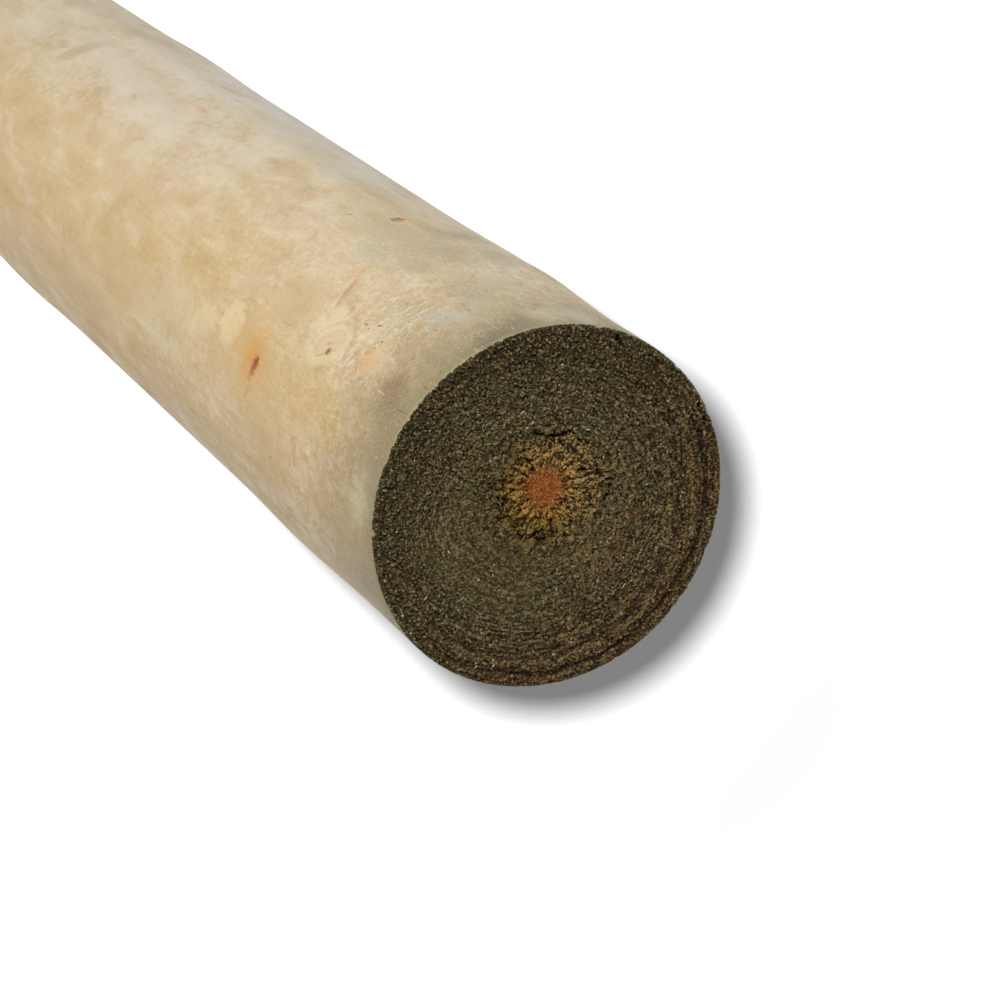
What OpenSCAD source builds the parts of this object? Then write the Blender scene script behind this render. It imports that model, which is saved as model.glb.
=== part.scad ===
// Round pine pole, peeled smooth and sawn square at both ends, standing on its butt.
// It stands along Z with its butt, the thicker end, at the bottom.
// Origin: middle of its width and depth, at the level of the butt face.

/* [Pole] */
// Length from sawn end to sawn end
pole_length = 1800; // [900:50:3600]
// Mean diameter at the top, the thinner end
top_diameter = 110; // [65:1:190]
// Mean diameter at the butt
butt_diameter = 119; // [75:1:200]
// How far the middle bows off a straight line between the ends
sweep = 5; // [0:0.5:20]
// Width of the worn edge round each sawn end
arris = 0.8; // [0.4:0.1:4]

/* [Section] */
// Longest less shortest diameter of the slightly oval section
ovality = 0.9; // [0:0.1:4]
// Depth of the shallow lobes that the peeler leaves round the pole
lobe_depth = 0.15; // [0:0.05:1]
// Number of lobes round the pole
lobe_count = 5; // [3:1:9]
// Degrees that the section turns in each metre, following the spiral grain
grain_twist = 9; // [-40:1:40]

/* [Branch whorls] */
// Distance from the top end down to the first whorl of knots
first_whorl = 95; // [40:5:400]
// Distance from one whorl to the next
whorl_spacing = 312; // [150:2:600]
// Height of the swelling that runs round the pole at a whorl
whorl_rise = 0.8; // [0:0.1:3]
// Reach of that swelling to each side of its whorl
whorl_reach = 60; // [30:5:120]
// Degrees that each whorl is turned from the one before
whorl_turn = -41; // [-90:1:90]

/* [Knots] */
// Knots in each whorl
whorl_knots = 4; // [2:1:6]
// Height of the low mound that the peeler leaves over a knot
knot_rise = 0.8; // [0:0.1:2]
// Length of a mound along the pole
knot_length = 56; // [30:2:90]
// Width of a mound round the pole
knot_width = 44; // [24:2:60]
// Angle of the first knot, from the +X side towards +Y
knot_angle = 272; // [0:1:360]
// Degrees by which knots stray from an even spacing round the pole
knot_stray = 16; // [0:1:30]
// Distance by which knots stray along the pole from their whorl
knot_scatter = 28; // [0:1:35]

/* [Hidden] */

// Faces round the pole, and sections between one whorl and the next
side_count = 40;
whorl_sections = 14;
// How much closer the sections stand at a whorl than between whorls, from 0 to below 1
section_crowding = 0.6;
// Overrun of the loft past each saw cut
cut_overrun = 2;
// Least room between two sections
least_step = 3;

whorl_count = ceil((pole_length - first_whorl) / whorl_spacing);
whorls = [for (w = [0 : whorl_count - 1]) w];

// All places along the pole are distances down from the top end
function whorl_at(w) = first_whorl + w * whorl_spacing;

// A knot's distance from the top end, and its angle: k counts the knots of whorl w
function knot_at(w, k) = whorl_at(w) - knot_scatter * cos(95 * w + 115 * k);
function knot_turn(w, k) =
    knot_angle + whorl_turn * w + 360 / whorl_knots * k + knot_stray * sin(47 * w + 131 * k);

// Smooth hump of height 1 that fades out over its reach
function hump(distance, reach) = abs(distance) < reach ? pow(cos(90 * distance / reach), 2) : 0;

// Shortest signed way round from one angle to another
function turn_between(a, b) = let (turn = a - b) turn - 360 * round(turn / 360);

function mean_radius(s) = (top_diameter + (butt_diameter - top_diameter) * s / pole_length) / 2;

// Centre of the section: the middle bows towards +Y
function centre(s) = [0, 4 * sweep * s * (pole_length - s) / pow(pole_length, 2), pole_length - s];

function swelling(s) = whorl_rise * max([for (w = whorls) hump(s - whorl_at(w), whorl_reach)]);

function mound(s, angle) = knot_rise * max([for (w = whorls, k = [0 : whorl_knots - 1])
    hump(s - knot_at(w, k), knot_length / 2)
        * hump(turn_between(angle, knot_turn(w, k)) * PI / 180 * mean_radius(s), knot_width / 2)]);

function out_of_round(s, angle) = let (turned = angle - grain_twist * s / 1000)
    ovality / 4 * cos(2 * turned) + lobe_depth / 2 * cos(lobe_count * turned);

// What the worn edge takes off the radius near a saw cut, and past it
function edge_wear(s) = max(0, arris - s, s - (pole_length - arris));

function radius(s, angle) =
    mean_radius(s) + out_of_round(s, angle) + swelling(s) + mound(s, angle) - edge_wear(s);

function section(s) = [for (i = [0 : side_count - 1])
    let (angle = 360 * i / side_count) centre(s) + radius(s, angle) * [cos(angle), sin(angle), 0]];

// Sections stand close together at a whorl and further apart between whorls
function section_at(i) = first_whorl
    + whorl_spacing * (i / whorl_sections - section_crowding * sin(360 * i / whorl_sections) / 2 / PI);

first_section = -ceil(first_whorl / whorl_spacing * whorl_sections) - whorl_sections;
last_section = ceil(pole_length / whorl_spacing * whorl_sections) + whorl_sections;
stations = concat(
    [-cut_overrun, arris],
    [for (i = [first_section : last_section]) let (s = section_at(i))
        if (s > arris + least_step && s < pole_length - arris - least_step) s],
    [pole_length - arris, pole_length + cut_overrun]);

pole_points = [for (s = stations) each section(s)];
low_corner = [for (axis = [0 : 2]) min([for (p = pole_points) p[axis]])];
high_corner = [for (axis = [0 : 2]) max([for (p = pole_points) p[axis]])];

// Closed skin over the sections, with a flat lid on the first and the last
module loft(points, ring_count) {
    function corner(ring, i) = ring * side_count + i % side_count;
    polyhedron(points, concat(
        [[for (i = [side_count - 1 : -1 : 0]) corner(0, i)]],
        [for (ring = [0 : ring_count - 2], i = [0 : side_count - 1]) each [
            [corner(ring, i), corner(ring, i + 1), corner(ring + 1, i + 1)],
            [corner(ring, i), corner(ring + 1, i + 1), corner(ring + 1, i)]]],
        [[for (i = [0 : side_count - 1]) corner(ring_count - 1, i)]]));
}

// The loft runs past both ends, and the saw takes it to length
module pole() {
    saw_room = 2 * max(butt_diameter, top_diameter) + 2 * sweep;
    color("#c8b48c")
        translate([-(low_corner.x + high_corner.x) / 2, -(low_corner.y + high_corner.y) / 2, 0])
            intersection() {
                loft(pole_points, len(stations));
                translate([-saw_room, -saw_room, 0])
                    cube([2 * saw_room, 2 * saw_room, pole_length]);
            }
}

pole();
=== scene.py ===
import math
from types import SimpleNamespace
import bpy
import numpy as np
from mathutils import Matrix, Vector


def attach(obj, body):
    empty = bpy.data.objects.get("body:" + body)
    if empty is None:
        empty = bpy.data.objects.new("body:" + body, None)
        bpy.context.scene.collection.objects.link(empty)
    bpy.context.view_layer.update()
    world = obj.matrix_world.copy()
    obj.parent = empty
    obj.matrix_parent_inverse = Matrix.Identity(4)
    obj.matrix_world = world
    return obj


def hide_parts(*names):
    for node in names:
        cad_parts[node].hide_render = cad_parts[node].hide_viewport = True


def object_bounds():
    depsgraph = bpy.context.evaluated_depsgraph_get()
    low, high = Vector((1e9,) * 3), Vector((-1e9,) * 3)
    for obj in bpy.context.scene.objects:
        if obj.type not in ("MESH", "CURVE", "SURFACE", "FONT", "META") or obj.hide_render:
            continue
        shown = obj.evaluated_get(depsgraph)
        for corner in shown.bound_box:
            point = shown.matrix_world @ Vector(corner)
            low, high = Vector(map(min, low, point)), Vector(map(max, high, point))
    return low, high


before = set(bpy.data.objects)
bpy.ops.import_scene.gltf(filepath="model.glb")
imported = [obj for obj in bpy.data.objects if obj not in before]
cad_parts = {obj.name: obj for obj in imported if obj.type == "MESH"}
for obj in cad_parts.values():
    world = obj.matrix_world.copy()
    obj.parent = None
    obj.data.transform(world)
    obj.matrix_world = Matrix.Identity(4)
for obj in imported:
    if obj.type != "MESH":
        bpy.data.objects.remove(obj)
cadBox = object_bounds()
scene = bpy.context.scene
print("pole: frame loaded")

# The pole's sizes are in millimetres, those of the lamps and the floor in metres; angles are in degrees,
# and round the pole they go from +X towards +Y
mm = 0.001
full = 2 * math.pi


def maths(operation, swapped=False):
    # a function of wires and numbers that adds one Math node
    def add(wire, *others):
        values = (*others, wire) if swapped else (wire, *others)
        return wire.net.node("ShaderNodeMath", dict(enumerate(values)), operation=operation)
    return add


class Wire:
    # one value in a node tree; sums can be written with it
    def __init__(self, net, socket):
        self.net, self.socket = net, socket

    __add__, __radd__ = maths("ADD"), maths("ADD", True)
    __sub__, __rsub__ = maths("SUBTRACT"), maths("SUBTRACT", True)
    __mul__, __rmul__ = maths("MULTIPLY"), maths("MULTIPLY", True)
    __truediv__, __rtruediv__ = maths("DIVIDE"), maths("DIVIDE", True)
    __pow__, __abs__ = maths("POWER"), maths("ABSOLUTE")

    def __neg__(self):
        return self * -1.0


root, sine, most, least = maths("SQRT"), maths("SINE"), maths("MAXIMUM"), maths("MINIMUM")


class Net:
    # a node tree being written, shader or geometry
    def __init__(self, tree):
        self.tree, self.count = tree, 0

    def feed(self, node, inputs):
        # sets inputs of a node, each to a wire or to a plain value
        for key, value in inputs.items():
            if isinstance(value, Wire):
                self.tree.links.new(value.socket, node.inputs[key])
            else:
                node.inputs[key].default_value = value

    def node(self, kind, inputs=None, output=0, **settings):
        made = self.tree.nodes.new(kind)
        made.location = (self.count % 30 * 180, -(self.count // 30) * 320)
        self.count += 1
        for name, value in settings.items():
            setattr(made, name, value)
        self.feed(made, inputs or {})
        return Wire(self, made.outputs[output])

    def named(self, name, kind="FLOAT"):
        # an attribute of the mesh, in either sort of tree
        if self.tree.type == "GEOMETRY":
            return self.node("GeometryNodeInputNamedAttribute", {"Name": name}, data_type=kind)
        output = {"FLOAT": "Fac", "FLOAT_VECTOR": "Vector"}[kind]
        return self.node("ShaderNodeAttribute", None, output, attribute_name=name)


def vector(operation, *values):
    return values[0].net.node("ShaderNodeVectorMath", dict(enumerate(values)), operation=operation)


def scaled(value, amount):
    return value.net.node("ShaderNodeVectorMath", {0: value, "Scale": amount}, operation="SCALE")


def parts(value):
    made = value.net.node("ShaderNodeSeparateXYZ", {0: value})
    return [Wire(value.net, socket) for socket in made.socket.node.outputs]


def join(x, y, z):
    return x.net.node("ShaderNodeCombineXYZ", {0: x, 1: y, 2: z})


def noise(place, scale, detail=2.0, roughness=0.5, bend=0.0, space="3D", output=0):
    where = "W" if space == "1D" else "Vector"
    return place.net.node("ShaderNodeTexNoise", {
        where: place, "Scale": scale, "Detail": detail, "Roughness": roughness, "Distortion": bend},
        output, noise_dimensions=space)


def cells(place, scale, output="Distance", feature="F1"):
    return place.net.node("ShaderNodeTexVoronoi", {"Vector": place, "Scale": scale}, output, feature=feature)


def fade(value, start, end):
    # 0 at start and before it, 1 at end and past it, smooth between
    return value.net.node("ShaderNodeMapRange", {
        "Value": value, "From Min": start, "From Max": end}, interpolation_type="SMOOTHSTEP")


def mix(amount, first, second):
    return amount.net.node("ShaderNodeMix", {0: amount, 6: first, 7: second}, 2, data_type="RGBA")


def fillRamp(ramp, stops):
    while len(ramp.elements) > 1:
        ramp.elements.remove(ramp.elements[-1])
    ramp.elements[0].position, ramp.elements[0].color = stops[0]
    for position, colour in stops[1:]:
        ramp.elements.new(position).color = colour


def paint(red, green, blue):
    # a colour as it is seen, 0 to 255, to the linear values that nodes take
    def linear(value):
        value /= 255
        return value / 12.92 if value <= 0.04045 else ((value + 0.055) / 1.055) ** 2.4
    return (linear(red), linear(green), linear(blue), 1.0)


def palette(**tones):
    return {name: paint(*tone) for name, tone in tones.items()}


def turned(x, y, degrees):
    # the same place on axes turned by so many degrees
    c, s = math.cos(math.radians(degrees)), math.sin(math.radians(degrees))
    return x * c + y * s, y * c - x * s


def oval(u, v, halves):
    # 0 in the middle of an oval, 1 at its edge
    return root(u * u * (1 / halves[0]**2) + v * v * (1 / halves[1]**2))


# The pole's form, read from its node: height, centre and radii of each section
def readSections(node):
    points = np.array([v.co for v in node.data.vertices], float)
    levels = np.round(points[:, 2], 5)
    rings = [np.unique(points[levels == level].round(7), axis=0) for level in np.unique(levels)]
    sizes = [len(ring) for ring in rings]
    columns = max(set(sizes), key=sizes.count)
    rows = []
    for ring in rings:
        if len(ring) != columns:
            continue
        away = ring - ring.mean(0)
        turn = (np.arctan2(away[:, 1], away[:, 0]) + math.pi / columns) % full
        ring = ring[np.argsort(turn)]
        centre = np.array([ring[columns // 4, 0], ring[0, 1]])
        radii = np.hypot(*(ring[:, :2] - centre).T)
        rows.append(np.concatenate([[ring[0, 2], *centre], radii]))
    return np.array(rows)[::-1]


sections = readSections(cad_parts["pole"])
poleTop, poleFoot = cadBox[1].z, cadBox[0].z
length = poleTop - poleFoot
sectionDown = poleTop - sections[:, 0]
sectionSlope = np.gradient(sections, sectionDown, axis=0)


def sectionAt(down):
    # smooth curve through the sections, at one distance down from the top
    down = min(max(down, sectionDown[0]), sectionDown[-1])
    i = int(np.clip(np.searchsorted(sectionDown, down) - 1, 0, len(sectionDown) - 2))
    gap = sectionDown[i + 1] - sectionDown[i]
    t = (down - sectionDown[i]) / gap
    return ((2 * t**3 - 3 * t**2 + 1) * sections[i] + (t**3 - 2 * t**2 + t) * gap * sectionSlope[i]
            + (3 * t**2 - 2 * t**3) * sections[i + 1] + (t**3 - t**2) * gap * sectionSlope[i + 1])


def outline(down, angles):
    # centre of the section, and its radius at each angle as a sum of waves
    row = sectionAt(down)
    waves = np.fft.rfft(row[3:]) / len(row[3:])
    orders = np.arange(len(waves))
    radius = np.real(waves * np.exp(1j * np.outer(angles, orders))) @ np.where(orders == 0, 1, 2)
    return row[1:3], radius


topCentre = Vector((*sectionAt(0)[1:3], poleTop))
topRadius = float(outline(0, np.zeros(1))[1][0])
print("pole: form read from %d sections" % len(sections))


# Knots: where the part's own rule puts them, so that each lies on its low mound
knots = dict(
    first=95, spacing=312, count=4, angle=272, turn=-41, stray=16, scatter=28,
    downPhase=(95, 115), turnPhase=(47, 131), look=(0.37, 0.61), shift=(-1.3, 0.5), near=24,
    lean=31, leanSpread=50, sizeSpread=0.25)


def knotPlaces():
    # each knot's distance down, its angle, and a number from 0 to 1 that chooses its look
    def phase(name, w, k):
        return knots[name][0] * w + knots[name][1] * k

    places = []
    for w in range(math.ceil((length / mm - knots["first"]) / knots["spacing"])):
        for k in range(knots["count"]):
            down = knots["first"] + w * knots["spacing"] \
                - knots["scatter"] * math.cos(math.radians(phase("downPhase", w, k)))
            angle = knots["angle"] + knots["turn"] * w + 360 / knots["count"] * k \
                + knots["stray"] * math.sin(math.radians(phase("turnPhase", w, k)))
            places.append((down * mm, math.radians(angle), phase("look", w, k) % 1.0))
    return np.array(places)


# The mesh is made of rows of points: rings on each end, and a bevel at the saw cuts
build = dict(
    topRings=138, buttRings=26, arris=0.3,
    # rows down the side: how far each stretch goes, its step and its columns
    stretches=[(0.3, 0.3, 828), (1.8, 0.5, 828), (14, 1.95, 414), (500, 4.1, 144), (1e9, 10.6, 96)])


def poleRows():
    # from the middle of the top end, over the edge, down the side and in under the butt
    arris = build["arris"] * mm
    rows = [("top", 0.0, 1, 0.0)]
    rows += [("top", 0.0, 6 * k, k / build["topRings"]) for k in range(1, build["topRings"] + 1)]
    down, stop = 0.0, length - arris
    for reach, step, columns in build["stretches"]:
        last = min(reach * mm, stop)
        steps = max(1, round((last - down) / (step * mm)))
        rows += [("side", down + (last - down) * (i + 1) / steps, columns, 1.0) for i in range(steps)]
        down = last
    rings = build["buttRings"]
    rows += [("butt", length, 6 * k, k / rings) for k in range(rings, 0, -1)]
    return rows + [("butt", length, 1, 0.0)]


def bridge(first, firstCount, second, secondCount):
    # faces between two rings of any count: squares where they match, else triangles
    if firstCount == secondCount:
        n = firstCount
        return [(first + i, second + i, second + (i + 1) % n, first + (i + 1) % n) for i in range(n)]
    faces, i, j = [], 0, 0
    while i < firstCount or j < secondCount:
        if j == secondCount or (i < firstCount and (i + 0.5) * secondCount <= (j + 0.5) * firstCount):
            faces.append((first + i, second + j % secondCount, first + (i + 1) % firstCount))
            i += 1
        else:
            faces.append((first + i % firstCount, second + j, second + (j + 1) % secondCount))
            j += 1
    return [face for face in faces if len(set(face)) == 3]


# Bake layout: top end in one corner, the side in three strips, the butt in a small square
layout = dict(
    discs={"top": (0.755, 0.755, 0.235), "butt": (0.497, 0.755, 0.012)},      # middle and reach
    # strips down the side: from and to in metres, left edge, width, lower edge and height in the map
    strips=[(0.0, 0.35, 0.01, 0.46, 0.52, 0.47), (0.35, 1.07, 0.01, 0.98, 0.265, 0.235),
            (1.07, 1.81, 0.01, 0.98, 0.01, 0.235)])


def layoutSpot(kind, down, first, angle, share, closing):
    # first is the face's nearest distance to the top; closing is for a corner past the seam
    if kind in layout["discs"]:
        u, v, reach = layout["discs"][kind]
        return u + reach * share * math.cos(angle), v + reach * share * math.sin(angle)
    turn = 1.0 if closing else (angle - math.pi / 2) % full / full
    for start, stop, left, width, low, height in layout["strips"]:
        if first < stop - 1e-6:
            break
    return left + width * (down - start) / (stop - start), low + height * turn


def poleMesh():
    rows = poleRows()
    points, facts, starts = [], [], []
    for kind, down, count, share in rows:
        angles = full * np.arange(count) / count
        centre, radius = outline(down, angles)
        rim = radius - (build["arris"] * mm if kind != "side" else 0)
        starts.append(len(points))
        for angle, r in zip(angles, rim * share):
            ray = (math.cos(angle), math.sin(angle))
            points.append((centre[0] + r * ray[0], centre[1] + r * ray[1], poleTop - down))
            facing = {"top": (0, 0, 1), "butt": (0, 0, -1), "side": (*ray, 0)}[kind]
            if share == 1.0 and kind != "side":
                facing = (*ray, facing[2])
            facts.append((kind, down, angle, share, facing))
    faces, sawn = [], []
    kinds, _, counts, _ = zip(*rows)
    for i in range(len(rows) - 1):
        ring = bridge(starts[i], counts[i], starts[i + 1], counts[i + 1])
        faces += ring
        sawn += [kinds[i:i + 2] == ("top", "top") or kinds[i] == "butt"] * len(ring)
    mesh = bpy.data.meshes.new("pole")
    mesh.from_pydata(points, [], faces)
    return mesh, facts, np.array(sawn)


def addAttributes(mesh, facts, sawn):
    kind, down, angle, share, outward = map(np.array, zip(*facts))
    values = {"topEnd": kind == "top", "buttEnd": kind == "butt", "share": share, "outward": outward}
    # offset in millimetres to the nearest knot, turned and sized for each, for the knots' own pattern
    places = knotPlaces()
    along = (down[:, None] - places[:, 0]) / mm - knots["shift"][0]
    around = (angle[:, None] - places[:, 1] + math.pi) % full - math.pi
    around = around * topRadius / mm - knots["shift"][1]
    nearest = np.argmin(along**2 + around**2, axis=1)
    pick, seed = np.arange(len(facts)), places[nearest, 2]
    turn = np.radians(knots["lean"] + knots["leanSpread"] * np.sin(7 * seed))
    grow = 1 - knots["sizeSpread"] * np.sin(5 * seed)
    u = (along[pick, nearest] * np.cos(turn) + around[pick, nearest] * np.sin(turn)) / grow
    v = (around[pick, nearest] * np.cos(turn) - along[pick, nearest] * np.sin(turn)) / grow
    offset = np.stack([u, v, seed], -1)
    values["knotOffset"] = offset
    values["knotNear"] = (kind == "side") & (np.hypot(offset[:, 0], offset[:, 1]) < knots["near"])
    for name, value in values.items():
        form, key = ("FLOAT_VECTOR", "vector") if value.ndim == 2 else ("FLOAT", "value")
        layer = mesh.attributes.new(name, form, "POINT")
        layer.data.foreach_set(key, np.ascontiguousarray(value, np.float32).ravel())
    flags = mesh.attributes.new("sawn", "BOOLEAN", "FACE")
    flags.data.foreach_set("value", sawn)


def addLayout(mesh, facts):
    layer = mesh.uv_layers.new(name="OFBake")
    spots = np.zeros((len(mesh.loops), 2), np.float32)
    for face in mesh.polygons:
        kinds, downs, angles, shares, _ = zip(*[facts[v] for v in face.vertices])
        kind = kinds[0] if len(set(kinds)) == 1 else "side"
        turns = [(angle - math.pi / 2) % full for angle in angles]
        over = max(turns) - min(turns) > math.pi
        for loop, down, angle, share, turn in zip(face.loop_indices, downs, angles, shares, turns):
            spots[loop] = layoutSpot(kind, down, min(downs), angle, share, over and turn < 0.1)
    layer.data.foreach_set("uv", spots.ravel())


# The sawn ends
sawnEnd = dict(
    pith=(-4.1, -5.7),          # the heart of the tree is a little off the middle
    pithRadius=5.9, heartRadius=19.5,
    ridgesAt=38.0, grooveAt=0.926,      # rings that stand out; the groove's place is a share of the way out
    calmPatch=(23, -3),         # here the ground is finer and the rings are plain in it
    buttShift=(140, 90),        # the butt has the same pattern from another place
    clumpHeight=0.8, chipHeight=1.2, ringGroove=0.26, slitDepth=0.9, crackDepth=1.6, rimBite=0.6,
    tuftWidth=0.8, tuftHeight=0.8, grainSize=0.66, grainHeight=0.62,
    ridgeHeight=0.3, gapDepth=0.25, grooveDepth=0.4, heartRise=0.15,
    rowHeight=0.05, rowSpacing=1.07, rowTurn=43, roughness=0.72, shine=0.08)
# Cracks and pits: middle, turn, length, half width and how far it bows
cracks = [
    (-16.4, -14.8, 126, 10.5, 0.55, -0.03),
    (-20.6, -6.2, 95, 3.0, 0.4, 0.0),
    (-16.9, 5.6, 72, 4.4, 0.5, 0.04),
    (-17.4, 9.4, 118, 3.4, 0.5, 0.0),
    (-14.2, 12.0, 20, 5.2, 0.55, 0.05),
    (8.0, -14.5, 45, 5.0, 0.42, 0.0),
    (6.8, -13.3, 40, 3.0, 0.34, 0.0),
    (7.5, 1.9, 160, 4.2, 0.5, 0.0),
    (-14.1, -7.8, 43, 3.6, 0.36, 0.0),
    (-2.9, -13.7, 96, 3.0, 0.34, 0.0),
    (-49.8, -17.2, 70, 4.0, 0.6, 0.0),
    (-51.4, 17.4, 20, 3.0, 0.8, 0.0),
    (-48.6, 22.2, 60, 2.8, 0.6, 0.0),
    (-45.0, 23.6, 140, 2.4, 0.5, 0.0)]


def sawnField(place, size):
    # relief of a sawn end in millimetres, and the zones that its colour needs; reach is the distance
    # from the pith, ux and uy its direction, and ringAt goes from 0 at the pith to 1 at the rim
    x, y, _ = parts(place)
    px, py = sawnEnd["pith"]
    wx, wy = x - px, y - py
    square = wx * wx + wy * wy
    reach = root(square)
    ux, uy = wx / (reach + 0.01), wy / (reach + 0.01)
    radius = topRadius / mm
    rest = radius**2 - px**2 - py**2
    lean = wx * px + wy * py
    ringAt = (lean + root(lean * lean + square * rest)) / rest
    ringAt = ringAt - ringAt * (1 - ringAt) * 4 * (ux * 0.058 - uy * 0.046)
    broad = noise(place, 0.055, 2.0, 0.5, space="2D") - 0.5
    ringLine = ringAt * radius + broad * 2.4
    # two thin ridges close together, seen in two stretches of one ring
    pairAt = ringAt * radius - sawnEnd["ridgesAt"] + broad * 3.2
    pairShown = most(fade(ux * 0.5 + uy * 0.87, 0.5, 0.8), fade(ux * 0.45 - uy * 0.9, 0.55, 0.85) * 0.6)
    ridges = fade(abs(abs(pairAt) - 0.55), 0.32, 0.08) * pairShown
    between = most(fade(abs(pairAt), 0.3, 0.05), fade(abs(pairAt - 1.3), 0.5, 0.1)) * pairShown
    low = (x * 0.26 + y * 0.97 + broad * 24) * (1 / radius)   # 1 at the +Y side of the face

    calmX, calmY = x - sawnEnd["calmPatch"][0], y - sawnEnd["calmPatch"][1]
    smooth = fade(root(calmX * calmX + calmY * calmY * 0.45) + broad * 16, 19, 9)
    grit = noise(place, 0.5, 1.0, space="2D") - 0.5
    pithRadius, heartRadius = sawnEnd["pithRadius"], sawnEnd["heartRadius"]
    pithDisc = fade(reach + grit * 2.8 - ux * 0.5, pithRadius, pithRadius - 0.9)
    edge = noise(place, 0.22, 3.0, 0.65, space="2D") - 0.5
    heart = fade(reach + edge * 11 - uy * 1.6, heartRadius, heartRadius - 5.5) * (1 - pithDisc)
    heartWide = fade(reach + edge * 6, 28, 13) * (1 - pithDisc)

    tuft = noise(place, 1 / size["tuftWidth"], 3.0, 0.55, 0.2, "2D") - 0.5
    clump = noise(place, 0.6, 2.0, 0.62, 0.4, "2D") - 0.5
    ring = noise(ringLine, 0.3, 2.0, 0.6, space="1D") - 0.5
    ringFine = noise(ringLine, 1.15, 1.0, 0.5, space="1D") - 0.5
    arcs = noise(join(ringLine * 1.1, ux * 11, uy * 11), 1.0, 2.0, 0.55) - 0.5
    ringAmount = 0.5 + 0.5 * fade(low, -0.35, 0.3)
    ringAmount = most(ringAmount, most(smooth, fade(abs(ringAt - 0.52), 0.12, 0.05) * 0.8))
    ringAmount = most(ringAmount, fade(uy * 0.8 - ux * 0.6, 0.2, 0.7) * fade(ringAt, 0.3, 0.42))
    groove = abs(ringAt - sawnEnd["grooveAt"] + broad * 0.03)
    groove = fade(groove, 0.014, 0.002) * fade(x * 0.25 + y, -6, 30)

    rowAxis, rowAlong = turned(x, y, sawnEnd["rowTurn"])
    rowAxis = rowAxis + broad * 3.0
    rowZone = fade(x * 0.62 - y * 0.79, -4, 30)
    rows = sine(rowAxis * (full / sawnEnd["rowSpacing"])) * rowZone

    # chips round the heart: cells drawn out along the rays, gaps between some of them
    spokes = join(ux * 7.5, uy * 7.5, reach * 0.36)
    shake = vector("SUBTRACT", noise(place, 0.55, space="2D", output="Color"), (0.5, 0.5, 0.5))
    spokes = vector("ADD", spokes, shake)
    cellEdge = cells(spokes, 1.0, feature="DISTANCE_TO_EDGE")
    chip = parts(cells(spokes, 1.0, "Color"))[0] - 0.5
    opened = fade(noise(place, 0.32, 2.0, 0.6, space="2D"), 0.42, 0.56)
    slit = fade(cellEdge, 0.13, 0.03) * opened * heartWide * fade(reach, 4.6, 6.2)
    crack = 0.0
    wobble = noise(place, 0.9, 2.0, 0.6, space="2D") - 0.5
    for cx, cy, turn, long, wide, bow in cracks:
        along, across = turned(x - cx, y - cy, turn)
        across = across + along * along * bow + wobble * 1.6
        gap = fade(abs(across), wide, wide * 0.4)
        crack = gap * fade(abs(along) + wobble * 2, long * 0.54, long * 0.42) + crack
    rimBreak = fade(abs(reach + edge * 8 - 16.4), 0.55, 0.15) * fade(
        noise(join(ux * 2.4, uy * 2.4, 0.0), 1.0, 1.0), 0.5, 0.6)
    crack = least(crack + rimBreak * 0.8, 1.0)

    calm = (1 - smooth * 0.5) * (1 - pithDisc * 0.8) * (1 + fade(low, -0.1, -0.8) * 0.3)
    height = ((clump * 2 * size["clumpHeight"] + tuft * 2 * size["tuftHeight"]) * calm
              + chip * size["chipHeight"] * heartWide + heart * sawnEnd["heartRise"]
              + ring * 2 * size["ringGroove"] * ringAmount * (1 - heart)
              + ridges * sawnEnd["ridgeHeight"] - between * sawnEnd["gapDepth"]
              - slit * size["slitDepth"] - crack * size["crackDepth"] - groove * sawnEnd["grooveDepth"])
    return SimpleNamespace(
        x=x, y=y, height=height, reach=reach, ux=ux, uy=uy, ringAt=ringAt, broad=broad, heart=heart,
        pithDisc=pithDisc, slit=slit, crack=crack, smooth=smooth, ring=ring, ringFine=ringFine, tuft=tuft,
        clump=clump, ringAmount=ringAmount, chip=chip, groove=groove, ridges=ridges, between=between,
        grit=grit, arcs=arcs, rows=rows, rowAxis=rowAxis, rowAlong=rowAlong)


def newTree(name, kinds):
    # a Geometry Nodes tree with a mesh and named values coming in, and a mesh going out
    tree = bpy.data.node_groups.new(name, "GeometryNodeTree")
    for label, kind in {"Geometry": "Geometry", **kinds}.items():
        tree.interface.new_socket(label, in_out="INPUT", socket_type="NodeSocket" + kind)
    tree.interface.new_socket("Geometry", in_out="OUTPUT", socket_type="NodeSocketGeometry")
    net, into = Net(tree), tree.nodes.new("NodeGroupInput")
    return net, {socket.name: Wire(net, socket) for socket in into.outputs if socket.name}


def endTree(geometry):
    tree = geometry.net.tree
    tree.links.new(geometry.socket, tree.nodes.new("NodeGroupOutput").inputs[0])
    return tree


# Geometry Nodes tree: saw tufts, growth rings, slits and cracks on the ends, low ripple on the side
endSizes = {"Clump height": "clumpHeight", "Chip height": "chipHeight", "Ring groove": "ringGroove",
            "Slit depth": "slitDepth", "Crack depth": "crackDepth", "Rim bite": "rimBite",
            "Tuft width": "tuftWidth", "Tuft height": "tuftHeight"}
sideSizes = {"Side ripple": "ripple", "Side flats": "flats"}


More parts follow.
